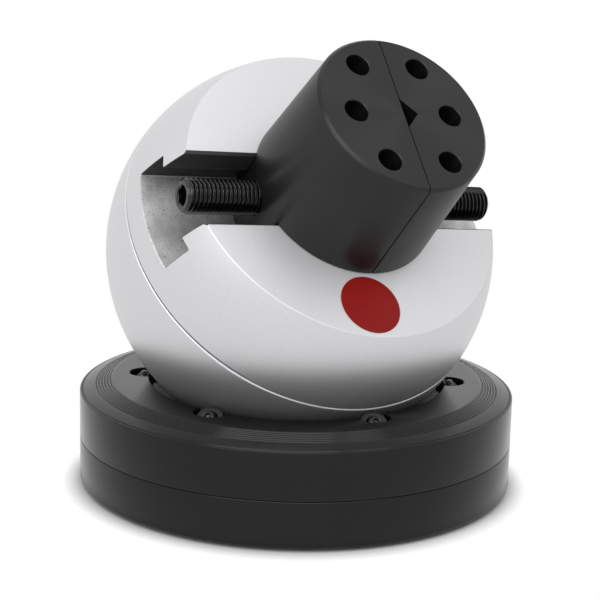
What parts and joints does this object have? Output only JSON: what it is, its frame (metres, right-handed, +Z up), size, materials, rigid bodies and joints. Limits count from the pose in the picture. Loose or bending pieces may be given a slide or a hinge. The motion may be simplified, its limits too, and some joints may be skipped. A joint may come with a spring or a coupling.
{
  "type": "ball vise",
  "caption": "Tilting ball vise: a heavy round base carries a leaning steel ball on bearings, with a turning head and two half-round jaws on a double-handed screw.",
  "frame": {"origin": "centre of the base's underside, on the bench", "axes": "+Z up along the base's axis; +X to the right and -Y towards the user as pictured"},
  "size_m": [0.15, 0.15, 0.1561],
  "materials": {
    "base_black": "black oxide, satin, fine turned",
    "ball_steel": "fine bead-blasted satin steel",
    "jaw_black": "black oxide over a turned surface",
    "screw_black": "black oxide on a cut thread",
    "fastener_black": "black oxide",
    "bearing_steel": "ground bearing steel",
    "cage_brass": "stamped",
    "pad_plastic": "turned acetal",
    "foot_rubber": "moulded rubber",
    "badge_red": "plain glossy disc, bare"
  },
  "bodies": {
    "base": {"upper_base_ring": "base_black", "lower_base_ring": "base_black", "foot_ring": "foot_rubber", "base_screws": "fastener_black", "bearing_inner_rings": "bearing_steel", "bearing_shims": "bearing_steel", "bearing_screws": "fastener_black"},
    "pad": {"centre_pad": "pad_plastic"},
    "ball": {"lower_ball": "ball_steel", "thrust_washer_lower": "bearing_steel", "needle_cage": "cage_brass", "needles": "bearing_steel", "pivot_bolt": "fastener_black", "pivot_washer": "bearing_steel"},
    "head": {"upper_ball": "ball_steel", "thrust_washer_upper": "bearing_steel", "screw_yoke": "fastener_black", "yoke_screws": "fastener_black", "badge": "badge_red"},
    "screw": {"lead_screw": "screw_black"},
    "left_jaw": {"left_jaw": "jaw_black"},
    "right_jaw": {"right_jaw": "jaw_black"},
    "race_1": {"bearing_race_1": "bearing_steel"},
    "race_2": {"bearing_race_2": "bearing_steel"},
    "race_3": {"bearing_race_3": "bearing_steel"},
    "race_4": {"bearing_race_4": "bearing_steel"},
    "race_5": {"bearing_race_5": "bearing_steel"},
    "race_6": {"bearing_race_6": "bearing_steel"}
  },
  "joints": [
    {"name": "ball_yaw", "type": "hinge", "parent": "base", "child": "pad", "pos_m": [0, 0, 0.0813], "axis": [0, 0, 1], "continuous": true},
    {"name": "ball_lean", "type": "hinge", "parent": "pad", "child": "ball", "pos_m": [0, 0, 0.0813], "axis": [0.8339, 0.5519, 0], "range_deg": [-111.4, 18.6]},
    {"name": "head_turn", "type": "hinge", "parent": "ball", "child": "head", "pos_m": [0, 0, 0.0813], "axis": [0.3997, -0.6039, 0.6896], "continuous": true},
    {"name": "left_jaw_slide", "type": "slide", "parent": "head", "child": "left_jaw", "axis": [-0.8741, -0.4777, 0.0883], "range_m": [0, 0.024]},
    {"name": "right_jaw_slide", "type": "slide", "parent": "head", "child": "right_jaw", "axis": [0.8741, 0.4777, -0.0883], "range_m": [0, 0.024]},
    {"name": "screw_turn", "type": "hinge", "parent": "head", "child": "screw", "pos_m": [0.01231, -0.0186, 0.10254], "axis": [0.8741, 0.4777, -0.0883], "range_deg": [0, 5760]},
    {"name": "race_turn_1", "type": "hinge", "parent": "base", "child": "race_1", "pos_m": [0.05255, -0.00138, 0.03313], "axis": [0.6754, -0.0177, 0.7373], "continuous": true},
    {"name": "race_turn_2", "type": "hinge", "parent": "base", "child": "race_2", "pos_m": [0.02747, 0.04482, 0.03313], "axis": [0.353, 0.576, 0.7373], "continuous": true},
    {"name": "race_turn_3", "type": "hinge", "parent": "base", "child": "race_3", "pos_m": [-0.02508, 0.0462, 0.03313], "axis": [-0.3224, 0.5937, 0.7373], "continuous": true},
    {"name": "race_turn_4", "type": "hinge", "parent": "base", "child": "race_4", "pos_m": [-0.05255, 0.00138, 0.03313], "axis": [-0.6754, 0.0177, 0.7373], "continuous": true},
    {"name": "race_turn_5", "type": "hinge", "parent": "base", "child": "race_5", "pos_m": [-0.02747, -0.04482, 0.03313], "axis": [-0.353, -0.576, 0.7373], "continuous": true},
    {"name": "race_turn_6", "type": "hinge", "parent": "base", "child": "race_6", "pos_m": [0.02508, -0.0462, 0.03313], "axis": [0.3224, -0.5937, 0.7373], "continuous": true}
  ],
  "couplings": [
    {"joint": "right_jaw_slide", "follows": "left_jaw_slide", "ratio": 1},
    {"joint": "screw_turn", "follows": "left_jaw_slide", "rad_per_m": 4188.8},
    {"joint": "race_turn_1", "follows": "ball_yaw", "ratio": -9.7321},
    {"joint": "race_turn_2", "follows": "ball_yaw", "ratio": -9.7321},
    {"joint": "race_turn_3", "follows": "ball_yaw", "ratio": -9.7321},
    {"joint": "race_turn_4", "follows": "ball_yaw", "ratio": -9.7321},
    {"joint": "race_turn_5", "follows": "ball_yaw", "ratio": -9.7321},
    {"joint": "race_turn_6", "follows": "ball_yaw", "ratio": -9.7321}
  ]
}
